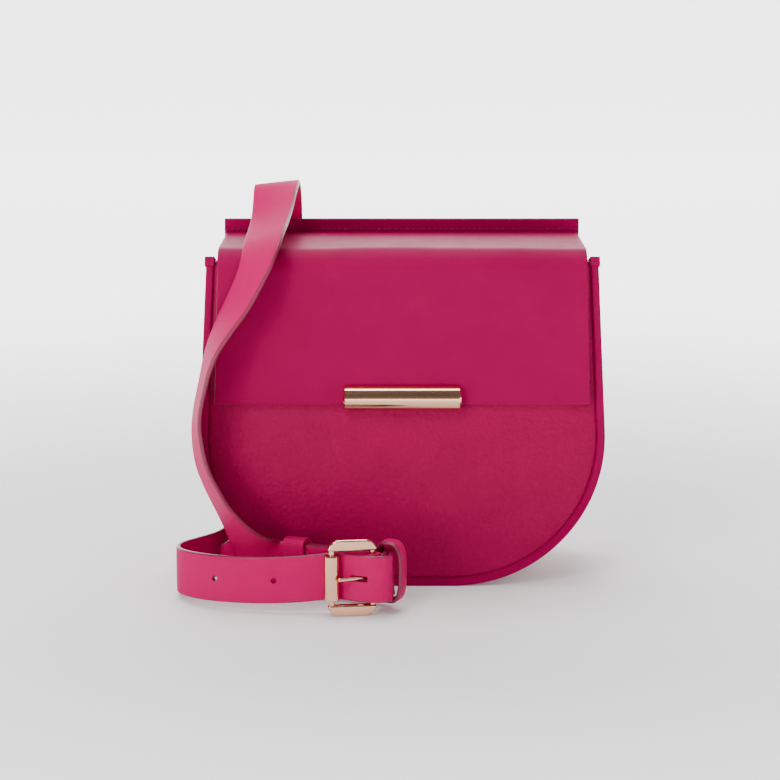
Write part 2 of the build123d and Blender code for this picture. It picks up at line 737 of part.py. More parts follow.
long_planes = route_planes(long_route)
with BuildPart() as long_strap:
    add(band(long_planes, tip_width))
    for hole_x, hole_y in spare_hole_spots:
        nearest = min(
            long_planes,
            key=lambda plane: hypot(plane.origin.X - hole_x, plane.origin.Y - hole_y),
        )
        facing = Plane(origin=(hole_x, hole_y, nearest.origin.Z), x_dir=UP, z_dir=nearest.y_dir)
        with BuildSketch(facing.offset(-2 * strap_thickness)):
            Circle(hole_radius)
        extrude(amount=4 * strap_thickness, mode=Mode.SUBTRACT)
    slot_start = Vector(*long_route[prong_run][0])
    slot_end = Vector(*long_route[prong_run + 1][0])
    slot_along = (slot_end - slot_start).normalized()
    slot_middle = slot_start + slot_along * prong_slot_along
    slot_plane = Plane(origin=slot_middle, x_dir=slot_along, z_dir=slot_along.cross(Vector(*UP)))
    with BuildSketch(slot_plane.offset(-2 * strap_thickness)):
        SlotOverall(prong_slot_length, 2 * hole_radius)
    extrude(amount=4 * strap_thickness, mode=Mode.SUBTRACT)
describe("long_strap", long_strap.part, long_route)
finish(long_strap.part, "long_strap")

# ---- buckle: frame, roller and prong, all turning about the upright heel bar ----
buckle_centre = Vector(heel_x, heel_y, buckle_z)
toward_roller = Vector(-cos(radians(buckle_tilt)), -sin(radians(buckle_tilt)), 0)
roller_centre = buckle_centre + toward_roller * roller_reach
frame_middle = buckle_centre + toward_roller * (roller_reach / 2)
frame_plane = Plane(origin=frame_middle, x_dir=toward_roller, z_dir=toward_roller.cross(Vector(*UP)))

with BuildPart() as buckle_frame:
    with BuildSketch(frame_plane.offset(-buckle_thickness / 2)):
        RectangleRounded(
            roller_reach + 2 * buckle_side, buckle_outer_height, buckle_corner_radius
        )
        Rectangle(2 * roller_reach, buckle_inner_height, mode=Mode.SUBTRACT)
    extrude(amount=buckle_thickness)
    fillet(buckle_frame.edges(), buckle_edge_fillet)
    for bar_centre in (buckle_centre, roller_centre):
        with BuildSketch(Plane(origin=bar_centre).offset(-buckle_inner_height / 2 - 2)):
            Circle(buckle_bar_radius)
        extrude(amount=buckle_inner_height + 4)
finish(buckle_frame.part, "buckle_frame")

with BuildPart() as buckle_roller:
    with BuildSketch(Plane(origin=roller_centre).offset(-roller_length / 2)):
        Circle(roller_radius)
        Circle(buckle_bar_radius + roller_clearance, mode=Mode.SUBTRACT)
    extrude(amount=roller_length)
    chamfer(buckle_roller.edges().filter_by(GeomType.CIRCLE).group_by(SortBy.RADIUS)[-1], 0.5)
finish(buckle_roller.part, "buckle_roller")

prong_angle = radians(buckle_tilt + prong_lift)
prong_along = Vector(-cos(prong_angle), -sin(prong_angle), 0)
with BuildPart() as buckle_prong:
    with BuildSketch(Plane(origin=buckle_centre).offset(-prong_sleeve_height / 2)):
        Circle(prong_sleeve_radius)
    extrude(amount=prong_sleeve_height)
    with BuildSketch(Plane(origin=buckle_centre, z_dir=prong_along)):
        Circle(prong_radius)
    extrude(amount=prong_length)
    tip = buckle_prong.faces().sort_by(Axis(buckle_centre, prong_along))[-1]
    fillet(tip.edges(), prong_radius * 0.7)
    with BuildSketch(Plane(origin=buckle_centre).offset(-prong_sleeve_height)):
        Circle(buckle_bar_radius + roller_clearance)
    extrude(amount=2 * prong_sleeve_height, mode=Mode.SUBTRACT)
finish(buckle_prong.part, "buckle_prong")

with BuildPart() as buckle_loop:
    with BuildSketch(Plane(origin=buckle_centre).offset(-strap_width / 2)):
        Circle(loop_inner_radius + loop_wall)
        with Locations((loop_tail / 2, 0)):
            Rectangle(loop_tail, strap_thickness)
        Circle(loop_inner_radius, mode=Mode.SUBTRACT)
    extrude(amount=strap_width)
    with BuildSketch(Plane(origin=buckle_centre).offset(-prong_sleeve_height / 2 - moving_gap)):
        Circle(prong_sleeve_radius + moving_gap / 2)
        with Locations((-loop_tail, 0)):
            Rectangle(2 * loop_tail, 4 * loop_tail)
    extrude(amount=prong_sleeve_height + 2 * moving_gap, mode=Mode.SUBTRACT)
finish(buckle_loop.part, "buckle_loop")


# ---- keepers: rounded leather rings round the doubled strap ----
def keeper_ring(room, wall, depth):
    """A rounded rectangular ring centred on the origin, its opening along Z."""
    with BuildPart() as ring:
        with BuildSketch(Plane.XY.offset(-depth / 2)):
            RectangleRounded(room[0] + 2 * wall, room[1] + 2 * wall, keeper_corner_radius + wall)
            RectangleRounded(room[0], room[1], keeper_corner_radius, mode=Mode.SUBTRACT)
        extrude(amount=depth)
    return ring.part


fixed_place = Plane(origin=fixed_keeper_centre, x_dir=RIGHT, z_dir=(0, -1, 0))
fixed_keeper = fixed_place * keeper_ring(fixed_keeper_room, keeper_wall, fixed_keeper_depth)
finish(fixed_keeper, "fixed_keeper")

run_along = (return_run_end - return_run_start).normalized()
keeper_middle = return_run_start + return_run_step + run_along * sliding_keeper_along
sliding_place = Plane(origin=keeper_middle, x_dir=run_along.cross(Vector(*UP)), z_dir=run_along)
sliding_keeper = sliding_place * keeper_ring(sliding_keeper_room, keeper_wall, sliding_keeper_length)
finish(sliding_keeper, "sliding_keeper")
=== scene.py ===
# %% [markdown]
# # A crossbody purse and its long strap
# The bag is a half-round leather box with a front flap, closed by a polished metal bar. Its hard parts
# arrive as a finished frame, and this script dresses them: it sets the camera and the light, lays the two
# strap lengths along smooth lines, bends the flap, domes the front panel, rolls the edge bindings and
# sews the seams. Every piece is in metres and stands where the frame puts it.

import json
import math

import bmesh
import bpy
import numpy as np
from mathutils import Matrix, Vector


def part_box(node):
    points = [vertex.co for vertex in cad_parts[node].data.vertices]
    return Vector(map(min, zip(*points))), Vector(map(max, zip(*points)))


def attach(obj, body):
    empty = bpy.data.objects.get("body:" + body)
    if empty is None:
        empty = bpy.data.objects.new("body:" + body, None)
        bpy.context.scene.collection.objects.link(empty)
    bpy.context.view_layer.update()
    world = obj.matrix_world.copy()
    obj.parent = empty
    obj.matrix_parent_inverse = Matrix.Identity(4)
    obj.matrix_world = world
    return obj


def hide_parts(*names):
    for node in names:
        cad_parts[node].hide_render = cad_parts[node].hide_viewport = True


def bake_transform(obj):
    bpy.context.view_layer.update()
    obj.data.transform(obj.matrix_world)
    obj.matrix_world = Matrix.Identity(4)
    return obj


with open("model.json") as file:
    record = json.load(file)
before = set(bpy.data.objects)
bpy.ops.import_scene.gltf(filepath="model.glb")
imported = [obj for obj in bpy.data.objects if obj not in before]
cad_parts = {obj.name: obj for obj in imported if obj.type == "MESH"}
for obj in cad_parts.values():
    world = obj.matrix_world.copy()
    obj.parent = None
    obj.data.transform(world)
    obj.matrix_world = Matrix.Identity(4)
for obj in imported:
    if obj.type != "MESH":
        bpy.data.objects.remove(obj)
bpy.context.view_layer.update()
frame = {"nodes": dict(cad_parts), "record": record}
MM = 0.001

# %% [markdown]
# ## Camera
# The bag is seen from the front and a little above. A long lens from 1.3 m keeps the sides nearly
# straight, and the view's middle is just left of the bag's middle because the strap lies on that side.

# %% Camera
aim = Vector((-0.0065, 0, 0.1005))
camera_data = bpy.data.cameras.new("camera")
camera_data.lens = 109.8
camera_data.sensor_width = 36
camera = bpy.data.objects.new("camera", camera_data)
bpy.context.scene.collection.objects.link(camera)
elevation = math.radians(11)
camera.location = aim + 1.3 * Vector((0, -math.cos(elevation), math.sin(elevation)))
camera.rotation_euler = (aim - camera.location).to_track_quat("-Z", "Y").to_euler()
bpy.context.scene.camera = camera
print("camera at", [round(v, 3) for v in camera.location])

# %% [markdown]
# ## Light and floor
# A white sweep stands in for a studio table, and large soft lamps above and in front give the leather its
# broad sheen. The sweep itself glows as painted light, with a painted shade that darkens it near the bag.
# Two dark cards stand outside the view: polished metal shows only what it reflects, so
# without them the bar and the buckle would look like flat pale paint.


# %% Light and floor
def put(name, mesh):
    """Adds a mesh to the scene as an object."""
    piece = bpy.data.objects.new(name, mesh)
    bpy.context.scene.collection.objects.link(piece)
    return piece


def grid_mesh(name, rows):
    """A mesh from rows of points, all the same length."""
    count = len(rows[0])
    faces = [
        (r * count + c, r * count + c + 1, (r + 1) * count + c + 1, (r + 1) * count + c)
        for r in range(len(rows) - 1)
        for c in range(count - 1)
    ]
    mesh = bpy.data.meshes.new(name)
    mesh.from_pydata([tuple(p) for row in rows for p in row], [], faces)
    return mesh


def faced(mesh, close=False):
    """Turns a mesh's faces outwards. With close, its doubled points are joined and its ends shut first."""
    shell = bmesh.new()
    shell.from_mesh(mesh)
    if close:
        bmesh.ops.remove_doubles(shell, verts=shell.verts, dist=1e-6)
        bmesh.ops.holes_fill(shell, edges=[e for e in shell.edges if e.is_boundary], sides=0)
    bmesh.ops.recalc_face_normals(shell, faces=shell.faces)
    shell.to_mesh(mesh)
    shell.free()


def settle(piece):
    """Applies a piece's modifiers to its mesh."""
    bpy.context.view_layer.update()
    whole = piece.evaluated_get(bpy.context.evaluated_depsgraph_get())
    piece.data = bpy.data.meshes.new_from_object(whole)
    piece.modifiers.clear()


def soften(piece, width, angle):
    """Rounds a piece's edges that are sharper than an angle in degrees."""
    edge = piece.modifiers.new("edge", "BEVEL")
    edge.width = width
    edge.segments = 3
    edge.limit_method = "ANGLE"
    edge.angle_limit = math.radians(angle)


def lamp(name, place, size, power):
    """A soft square area lamp aimed at the bag."""
    data = bpy.data.lights.new(name, "AREA")
    data.size = size
    data.energy = power
    item = bpy.data.objects.new(name, data)
    item.location = place
    item.rotation_euler = (LAMP_TARGET - Vector(place)).to_track_quat("-Z", "Y").to_euler()
    bpy.context.scene.collection.objects.link(item)


LAMP_TARGET = Vector((0, 0, 0.1))
bend = [(2.2 + 0.9 * math.sin(a), 0.9 - 0.9 * math.cos(a)) for a in np.linspace(0, math.pi / 2, 16)]
sweep_line = [(-3.0, 0.0), (0.0, 0.0)] + bend + [(3.1, 4.0)]
floor_rows = [[(x, y, z) for x in (-4, 4)] for y, z in sweep_line]
floor = put("studio_floor", grid_mesh("studio_floor", floor_rows))
floor.data.shade_smooth()
card_places = {
    "card_above": ((-0.02, -0.95, 0.86), 0.10, 0.42),
    "card_front": ((-0.16, -1.15, 0.16), 0.11, 0.10),
}
cards = []
for name, (place, half, tall) in card_places.items():
    card_rows = [[(-half, y, 0), (half, y, 0)] for y in (-tall, tall)]
    card = put(name, grid_mesh(name, card_rows))
    card.location = place
    card.rotation_euler = (aim - Vector(place)).to_track_quat("-Z", "Y").to_euler()
    cards.append(card)
lamp("key", (-0.55, -1.2, 1.25), 0.6, 13)
lamp("fill", (1.3, -0.9, 0.9), 1.0, 3)
lamp("low", (-0.8, -1.25, 0.16), 0.5, 8)
lamp("top", (-0.05, 0.1, 1.3), 0.7, 14)
world = bpy.data.worlds.new("studio")
world.use_nodes = True
world.node_tree.nodes["Background"].inputs["Color"].default_value = (1, 1, 1, 1)
world.node_tree.nodes["Background"].inputs["Strength"].default_value = 0.22
bpy.context.scene.world = world
print("floor, cards and", len(bpy.data.lights), "lamps")

# %% [markdown]
# ## Shader arithmetic
# A material's pattern is arithmetic on a few textures. Wrapping a node's output in a class with ordinary
# operators lets each pattern be written as one line of Python.


# %% Shader arithmetic
class Value:
    """A node's output, usable with + - * and with numbers on either side."""

    def __init__(self, graph, socket):
        self.graph = graph
        self.socket = socket

    def calc(self, operation, *values):
        return self.graph.node("ShaderNodeMath", {"operation": operation}, dict(enumerate(values)))

    def __add__(self, other):
        return self.calc("ADD", self, other)

    def __sub__(self, other):
        return self.calc("SUBTRACT", self, other)

    def __rsub__(self, other):
        return self.calc("SUBTRACT", other, self)

    def __mul__(self, other):
        return self.calc("MULTIPLY", self, other)

    __radd__ = __add__
    __rmul__ = __mul__

    def clip(self, low=0.0, high=1.0):
        return self.calc("MINIMUM", self.calc("MAXIMUM", self, low), high)

    def above(self, edge, soft):
        """0 below edge and 1 above edge + soft, with a smooth rise between."""
        settings = {"interpolation_type": "SMOOTHSTEP"}
        return self.graph.node("ShaderNodeMapRange", settings, {"Value": self, 1: edge, 2: edge + soft})


class Graph:
    """A material's node tree."""

    def __init__(self, name):
        self.material = bpy.data.materials.new(name)
        self.material.use_nodes = True
        self.tree = self.material.node_tree
        self.tree.nodes.clear()

    def node(self, kind, settings=None, inputs=None, output=0):
        """Adds a node, sets it, fills its inputs with values or links, and returns one output."""
        node = self.tree.nodes.new(kind)
        for key, value in (settings or {}).items():
            setattr(node, key, value)
        for key, value in (inputs or {}).items():
            if isinstance(value, Value):
                self.tree.links.new(value.socket, node.inputs[key])
            else:
                node.inputs[key].default_value = value
        return Value(self, node.outputs[output]) if len(node.outputs) else None

    def place(self):
        return self.node("ShaderNodeTexCoord", output="Object")

    def noise(self, scale, detail=3.0, roughness=0.55):
        inputs = {"Vector": self.place(), "Scale": scale, "Detail": detail, "Roughness": roughness}
        return self.node("ShaderNodeTexNoise", None, inputs)

    def cells(self, scale, feature="SMOOTH_F1"):
        inputs = {"Vector": self.place(), "Scale": scale}
        return self.node("ShaderNodeTexVoronoi", {"feature": feature}, inputs)

    def blend(self, amount, first, second):
        """A colour between two colours."""
        inputs = {"Factor": amount, 6: first, 7: second}
        return self.node("ShaderNodeMix", {"data_type": "RGBA"}, inputs, output=2)

    def bump(self, height, strength, distance):
        inputs = {"Height": height, "Strength": strength, "Distance": distance}
        return self.node("ShaderNodeBump", None, inputs)

    def surface(self, **inputs):
        """Ends the material in one Principled shader."""
        named = {key.replace("_", " "): value for key, value in inputs.items()}
        shader = self.node("ShaderNodeBsdfPrincipled", None, named)
        self.node("ShaderNodeOutputMaterial", None, {"Surface": shader})
        return self.material


def rgb(red, green, blue):
    return (red, green, blue, 1.0)


print("shader arithmetic ready")

# %% [markdown]
# ## Leathers
# Three leathers make the bag. The panels and gusset are tumbled leather: rounded pebbles about a
# millimetre across, with a fine crease between them. The flap and straps are smooth leather, with tiny
# pores and a slow drift of tone. Their cut edges are sealed with edge paint, which is glossier and duller
# in colour. SHINE tints what the leathers reflect head on.

# %% Leathers
RASPBERRY = rgb(0.34, 0.0, 0.062)
DEEP = rgb(0.21, 0.0, 0.038)
BRIGHT = rgb(0.55, 0.0, 0.110)
SHINE = rgb(1.0, 0.30, 0.45)


def pebbled_leather(name, tone, deep):
    graph = Graph(name)
    pebble = graph.cells(560)
    crease = graph.noise(1500, 2)
    drift = graph.noise(16, 2)
    worn = graph.noise(90, 4)
    height = (1.0 - pebble) * 0.9 + crease * 0.3
    amount = (drift * 0.75 + worn * 0.35 + pebble * 0.30 - 0.22).clip()
    return graph.surface(
        Base_Color=graph.blend(amount, tone, deep),
        Roughness=(0.40 + worn * 0.14 + pebble * 0.10).clip(),
        Normal=graph.bump(height, 0.7, 0.6 * MM),
        Specular_IOR_Level=0.22,
        Specular_Tint=SHINE,
    )


def smooth_leather(name, tone, deep, gloss=0.36, pore=0.22):
    graph = Graph(name)
    pores = graph.noise(2600, 3)
    drift = graph.noise(13, 3)
    cloud = graph.noise(70, 4, 0.6)
    amount = (drift * 0.9 + cloud * 0.45 - 0.32).clip()
    return graph.surface(
        Base_Color=graph.blend(amount, tone, deep),
        Roughness=(gloss + cloud * 0.14 + pores * 0.06).clip(),
        Normal=graph.bump(pores * 0.5 + cloud * 0.5, pore, 0.12 * MM),
        Specular_IOR_Level=0.07,
        Specular_Tint=SHINE,
    )


def edge_paint(name, tone, deep):
    graph = Graph(name)
    ripple = graph.noise(420, 3)
    return graph.surface(
        Base_Color=graph.blend(ripple.clip(), tone, deep),
        Roughness=(0.26 + ripple * 0.16).clip(),
        Normal=graph.bump(ripple, 0.25, 0.15 * MM),
    )


pebbled = pebbled_leather("pebbled_leather", RASPBERRY, DEEP)
flap_leather = smooth_leather("flap_leather", rgb(0.31, 0.0, 0.064), rgb(0.20, 0.0, 0.040))
strap_leather = smooth_leather("strap_leather", BRIGHT, rgb(0.40, 0.0, 0.080), 0.44)
rim_leather = smooth_leather("rim_leather", rgb(0.30, 0.0, 0.060), rgb(0.20, 0.0, 0.040), 0.38, 0.35)
paint = edge_paint("edge_paint", rgb(0.22, 0.006, 0.045), rgb(0.16, 0.003, 0.030))
print("leathers ready")

# %% [markdown]
# ## Metal, lining, board and thread
# The metal is a pale rose gold, polished but with the faint ripple and fine marks of plating. The lining
# is a napped suede whose tone drifts, the stiffening board is pressed fibre, and the thread is twisted.


# %% Metal, lining, board and thread
def polished(name, tone, deep, gloss):
    graph = Graph(name)
    ripple = graph.noise(55, 2)
    marks = graph.noise(900, 5, 0.7)
    return graph.surface(
        Base_Color=graph.blend(ripple.clip(), tone, deep),
        Roughness=(gloss + marks.above(0.55, 0.2) * 0.06).clip(),
        Metallic=1.0,
        Normal=graph.bump(ripple, 0.05, 0.2 * MM),
    )


def napped(name, tone, deep):
    graph = Graph(name)
    nap = graph.noise(1900, 4, 0.7)
    brushed = graph.noise(40, 3)
    return graph.surface(
        Base_Color=graph.blend((brushed * 0.9 + nap * 0.4 - 0.25).clip(), tone, deep),
        Roughness=(0.80 + nap * 0.15).clip(),
        Normal=graph.bump(nap, 0.5, 0.25 * MM),
        Sheen_Weight=0.25,
    )


def twisted_thread(name, tone, deep):
    graph = Graph(name)
    inputs = {"Vector": graph.place(), "Scale": 900.0}
    ply = graph.node("ShaderNodeTexWave", {"bands_direction": "DIAGONAL"}, inputs)
    return graph.surface(
        Base_Color=graph.blend(ply, tone, deep),
        Roughness=(0.5 + ply * 0.2).clip(),
        Normal=graph.bump(ply, 0.4, 0.1 * MM),
    )


gold = polished("rose_gold", rgb(0.83, 0.50, 0.33), rgb(0.76, 0.42, 0.27), 0.11)
steel = polished("steel", rgb(0.60, 0.60, 0.62), rgb(0.48, 0.48, 0.50), 0.28)
magnet = polished("magnet_plating", rgb(0.30, 0.30, 0.32), rgb(0.22, 0.22, 0.24), 0.30)
suede = napped("lining_suede", rgb(0.42, 0.03, 0.09), rgb(0.30, 0.015, 0.06))
board = napped("fibre_board", rgb(0.50, 0.45, 0.37), rgb(0.40, 0.35, 0.28))
thread = twisted_thread("thread", rgb(0.10, 0.0, 0.016), rgb(0.05, 0.0, 0.008))
# Painted light: the floor glows though it is no lamp. Near the bag its glow is painted down to dark grey, a
# painted shade that fades out between 0.16 m and about 1 m from the bag.
studio = Graph("studio_painted_glow")
spot = studio.node("ShaderNodeVectorMath", {"operation": "LENGTH"}, {0: studio.place()}, output=1)
painted_glow_and_shade = studio.blend(spot.above(0.16, 0.9), rgb(0.05, 0.05, 0.05), rgb(1, 1, 1))
white = studio.surface(
    Base_Color=rgb(0.9, 0.9, 0.9), Roughness=0.9, Emission_Color=painted_glow_and_shade, Emission_Strength=2.8
)
black = Graph("card_black").surface(Base_Color=rgb(0.02, 0.015, 0.012), Roughness=0.9)
floor.data.materials.append(white)
for card in cards:
    card.data.materials.append(black)

SLOT_MATERIALS = {
    "grained_leather": pebbled,
    "smooth_leather": rim_leather,
    "strap_leather": strap_leather,
    "lining_suede": suede,
    "stiffening_board": board,
    "gold_metal": gold,
    "steel": steel,
    "magnet": magnet,
}
for entry in frame["record"]["subparts"]:
    for slot in frame["nodes"][entry["node"]].material_slots:
        slot.material = SLOT_MATERIALS[entry["material_slot"]]
print("painted", len(frame["nodes"]), "frame pieces")

# %% [markdown]
# ## Strap lines
# Each strap length lies along one smooth curve. The curve's control points are the places that the strap
# passes, and a second curve, one centimetre to the side, says which way the strap's width points there.
# The first line starts at the left ring behind the bag, comes over the flap and ends at the buckle.

# %% Strap lines
UP = (0, 0, 1)
RIGHT = (1, 0, 0)
BACK = (0, 1, 0)
buckle_route = [
    ((-70, 40.6, 107.9), RIGHT),
    ((-70, 40.6, 90), RIGHT),
    ((-69.5, 42.5, 66), RIGHT),
    ((-69, 47.5, 52), RIGHT),
    ((-68.5, 55.5, 46.5), RIGHT),
    ((-68.5, 63.5, 51), RIGHT),
    ((-68, 66.5, 64), RIGHT),
    ((-68, 65.3, 90), RIGHT),
    ((-68, 61, 125), RIGHT),
    ((-68, 55.5, 160), RIGHT),
    ((-68, 51, 190), RIGHT),
    ((-68, 44.5, 203), RIGHT),
    ((-68.3, 33, 210), (0.99, 0.03, 0.13)),
    ((-68.3, 20, 211), (1, -0.03, 0.08)),
    ((-68.8, 8, 205.5), (0.95, -0.19, 0.25)),
    ((-69.7, -6, 197.5), (0.91, -0.24, 0.35)),
    ((-71.2, -24, 192), (0.88, -0.28, 0.33)),
    ((-72.3, -39, 188.6), (0.84, -0.4, 0.32)),
    ((-74.2, -50, 181.6), (0.79, -0.52, 0.28)),
    ((-78.2, -53.1, 171.5), (0.63, -0.78, 0.05)),
    ((-84.7, -54.2, 158), (0.47, -0.86, -0.19)),
    ((-93.4, -54.9, 144), (0.28, -0.93, -0.23)),
    ((-100.6, -55.2, 130), (0.18, -0.97, -0.14)),
    ((-105.4, -55.2, 110), (0.13, -0.98, -0.13)),
    ((-107.8, -53.5, 98), (0.15, -0.97, -0.18)),
    ((-108.3, -52.4, 86), (0.25, -0.96, -0.07)),
    ((-106.1, -52.2, 70), (0.31, -0.95, 0.09)),
    ((-100.6, -52.4, 57.5), (0.3, -0.93, 0.24)),
    ((-94.5, -53.4, 46), (0.26, -0.9, 0.34)),
    ((-86.6, -55, 34.5), (0.34, -0.78, 0.52)),
    ((-78.5, -54.2, 24.5), (0.44, -0.5, 0.73)),
    ((-71.4, -51.9, 18.8), (0.24, -0.15, 0.95)),
    ((-64, -53.43, 16.5), UP),
    ((-40, -63.43, 16.5), UP),
    ((-18, -72.6, 16.5), UP),
    ((-13, -74.7, 17.4), UP),
    ((-10, -77, 19.3), UP),
    ((-8.9, -81, 20.6), UP),
    ((-8.9, -87.4, 20.6), UP),
    ((-8.9, -89.6, 20.5), UP),
    ((-9.2, -90.7, 20.5), UP),
    ((-9.9, -91.6, 20.5), UP),
    ((-10.6, -92, 20.5), UP),
    ((-11.2, -92, 20.5), UP),
]
long_route = [
    ((-97, -36.4, 16.5), UP),
    ((-88, -40.6, 16.5), UP),
    ((-62.92, -50.85, 16.5), UP),
    ((-38.92, -60.85, 16.5), UP),
    ((-15.5, -70.6, 16.6), UP),
    ((-9, -73.1, 17.5), UP),
    ((-6, -77, 19.3), UP),
    ((-5.8, -81, 20.6), UP),
    ((-5.8, -91.5, 20.5), UP),
    ((-7, -95.4, 20.5), UP),
    ((-10, -97.4, 20.5), UP),
    ((-18.5, -97.4, 20.5), UP),
    ((-31, -90.6, 20.5), UP),
    ((-37.5, -89, 20.2), UP),
    ((-56, -88.8, 18), UP),
    ((-78, -86.4, 17), UP),
    ((-96, -80.6, 16.4), UP),
    ((-109, -72.2, 15.8), UP),
    ((-117.3, -62, 15.2), UP),
    ((-119.3, -52, 14.7), UP),
    ((-116, -42.5, 14.3), UP),
    ((-107, -31, 14), UP),
    ((-99, -19, 13.7), UP),
    ((-95.5, -3, 13.5), UP),
    ((-95.7, 16, 13.4), UP),
    ((-95.3, 34, 13.3), UP),
    ((-91.5, 48, 13.2), UP),
    ((-82, 57, 13.1), UP),
    ((-66, 60.5, 13), UP),
    ((-46, 61.3, 12.9), UP),
    ((-26, 60.5, 12.3), (0, 0.35, 0.93)),
    ((-8, 60, 9), (0, 0.8, 0.6)),
    ((8, 59.5, 4.2), (0, 0.98, 0.2)),
    ((26, 59, 2.2), BACK),
    ((46, 58.2, 2.4), BACK),
    ((60, 57, 6.5), BACK),
    ((69, 55.5, 16), BACK),
    ((72.5, 53.5, 30), (-0.2, 0.97, 0.05)),
    ((73, 51, 45), (-0.5, 0.86, 0.06)),
    ((72.3, 47.5, 60), (-0.8, 0.6, 0)),
    ((71, 43.5, 75), (-0.96, 0.25, 0)),
    ((70, 40.6, 92), (-1, 0, 0)),
    ((70, 40.6, 107.9), (-1, 0, 0)),
]


def smooth_line(places):
    """Points along the smooth curve that has these places, in metres, as its control points."""
    curve = bpy.data.curves.new("line", "CURVE")
    curve.dimensions = "3D"
    curve.resolution_u = 10
    spline = curve.splines.new("NURBS")
    spline.points.add(len(places) - 1)
    for point, place in zip(spline.points, places):
        point.co = (*place, 1)
    spline.order_u = 3
    spline.use_endpoint_u = True
    holder = put("line", curve)
    mesh = bpy.data.meshes.new_from_object(holder)
    points = [v.co.copy() for v in mesh.vertices]
    bpy.data.objects.remove(holder)
    return points


def strap_lines(route):
    """The strap's middle line and the direction across its width at each of its points."""
    middles = [Vector(p) * MM for p, across in route]
    asides = [Vector(p) * MM + 10 * MM * Vector(across).normalized() for p, across in route]
    line = smooth_line(middles)
    beside = smooth_line(asides)
    return line, [(b - a).normalized() for a, b in zip(line, beside)]


def run_length(line):
    return sum((b - a).length for a, b in zip(line, line[1:]))


buckle_line, buckle_across = strap_lines(buckle_route)
long_line, long_across = strap_lines(long_route)
print(f"strap to the buckle {run_length(buckle_line):.3f} m, long strap {run_length(long_line):.3f} m")

# %% [markdown]
# ## Strap bands
# A strap is one flat strip of smooth leather, 25 mm wide, with rounded and painted edges. The strip is
# made by carrying its section along the line: a slightly crowned face, a round edge, the back and the
# other edge. The edge faces take the edge paint.

# %% Strap bands
HALF_WIDTH = 12.5 * MM
HALF_THICK = 1.2 * MM


def band_section():
    """The strap's cross-section as (across, out, is_edge), a closed loop."""
    face = [(s, 1.0 - 0.10 * s * s) for s in np.linspace(-0.945, 0.945, 13)]
    top = [(s * HALF_WIDTH, t * HALF_THICK, False) for s, t in face]
    round_end = [
        (HALF_WIDTH * 0.945 + 0.055 * HALF_WIDTH * math.cos(a), 0.90 * HALF_THICK * math.sin(a), True)
        for a in np.linspace(math.pi / 2, -math.pi / 2, 7)[1:-1]
    ]
    back = [(-a, -b, edge) for a, b, edge in top]
    other_end = [(-a, -b, edge) for a, b, edge in round_end]
    return top + round_end + back + other_end


def band_mesh(name, line, across, width_at=lambda distance: 1.0):
    """The strap as a mesh that follows a line."""
    section = band_section()
    count = len(section)
    points = []
    distance = 0.0
    for index, place in enumerate(line):
        before = line[max(index - 1, 0)]
        after = line[min(index + 1, len(line) - 1)]
        along = (after - before).normalized()
        side = (across[index] - along * across[index].dot(along)).normalized()
        out = along.cross(side)
        if index:
            distance += (place - line[index - 1]).length
        width = width_at(distance)
        points += [place + side * (a * width) + out * b for a, b, edge in section]
    faces = []
    kinds = []
    for row in range(len(line) - 1):
        for k in range(count):
            follow = (k + 1) % count
            near, far = row * count, (row + 1) * count
            faces.append((near + k, near + follow, far + follow, far + k))
            kinds.append(1 if section[k][2] or section[follow][2] else 0)
    last = (len(line) - 1) * count
    faces += [tuple(reversed(range(count))), tuple(range(last, last + count))]
    kinds += [1, 1]
    mesh = bpy.data.meshes.new(name)
    mesh.from_pydata([tuple(p) for p in points], [], faces)
    mesh.polygons.foreach_set("material_index", kinds)
    mesh.materials.append(strap_leather)
    mesh.materials.append(paint)
    faced(mesh)
    mesh.shade_smooth()
    return mesh


buckle_strap = put("buckle_strap", band_mesh("buckle_strap", buckle_line, buckle_across))
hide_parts("strap_rear", "strap_over_flap", "strap_down")


def tip_width(distance):
    """The long strap's tip narrows over its last 9 mm."""
    return 0.5 + 0.5 * min(distance / (9 * MM), 1.0)


long_strap = put("long_strap_band", band_mesh("long_strap_band", long_line, long_across, tip_width))
print("bands", len(buckle_strap.data.polygons), len(long_strap.data.polygons), "faces")

# %% [markdown]
# ## Holes in the long strap
# The buckle's prong needs punched holes. Each hole is a real round cut through the strip, square to its
# face, and the one that the prong uses is a short slot.


# %% Holes in the long strap
HOLE_RADIUS = 1.5 * MM
PUNCH_DEPTH = 9 * MM


def cut_hole(piece, place, length=0.0):
    """Cuts a round hole, or a slot of that extra length, through the band near a place."""
    index = min(range(len(long_line)), key=lambda i: (long_line[i] - place).length)
    after = long_line[min(index + 1, len(long_line) - 1)]
    along = (after - long_line[max(index - 1, 0)]).normalized()
    out = along.cross(Vector(UP)).normalized()
    tool_shape = bmesh.new()
    size = {"radius1": HOLE_RADIUS, "radius2": HOLE_RADIUS, "depth": PUNCH_DEPTH}
    bmesh.ops.create_cone(tool_shape, cap_ends=True, segments=32, **size)
    for vertex in tool_shape.verts:
        vertex.co.x += math.copysign(length / 2, vertex.co.x) if length else 0
    turn = Matrix((along, Vector(UP), out)).transposed().to_4x4()
    bmesh.ops.transform(tool_shape, matrix=Matrix.Translation(place) @ turn, verts=tool_shape.verts)
    mesh = bpy.data.meshes.new("punch")
    tool_shape.to_mesh(mesh)
    tool_shape.free()
    mesh.materials.append(strap_leather)
    mesh.materials.append(paint)
    mesh.polygons.foreach_set("material_index", [1] * len(mesh.polygons))
    punch = put("punch", mesh)
    cut = piece.modifiers.new("cut", "BOOLEAN")
    cut.operation = "DIFFERENCE"
    cut.solver = "EXACT"
    cut.object = punch
    settle(piece)
    bpy.data.objects.remove(punch)


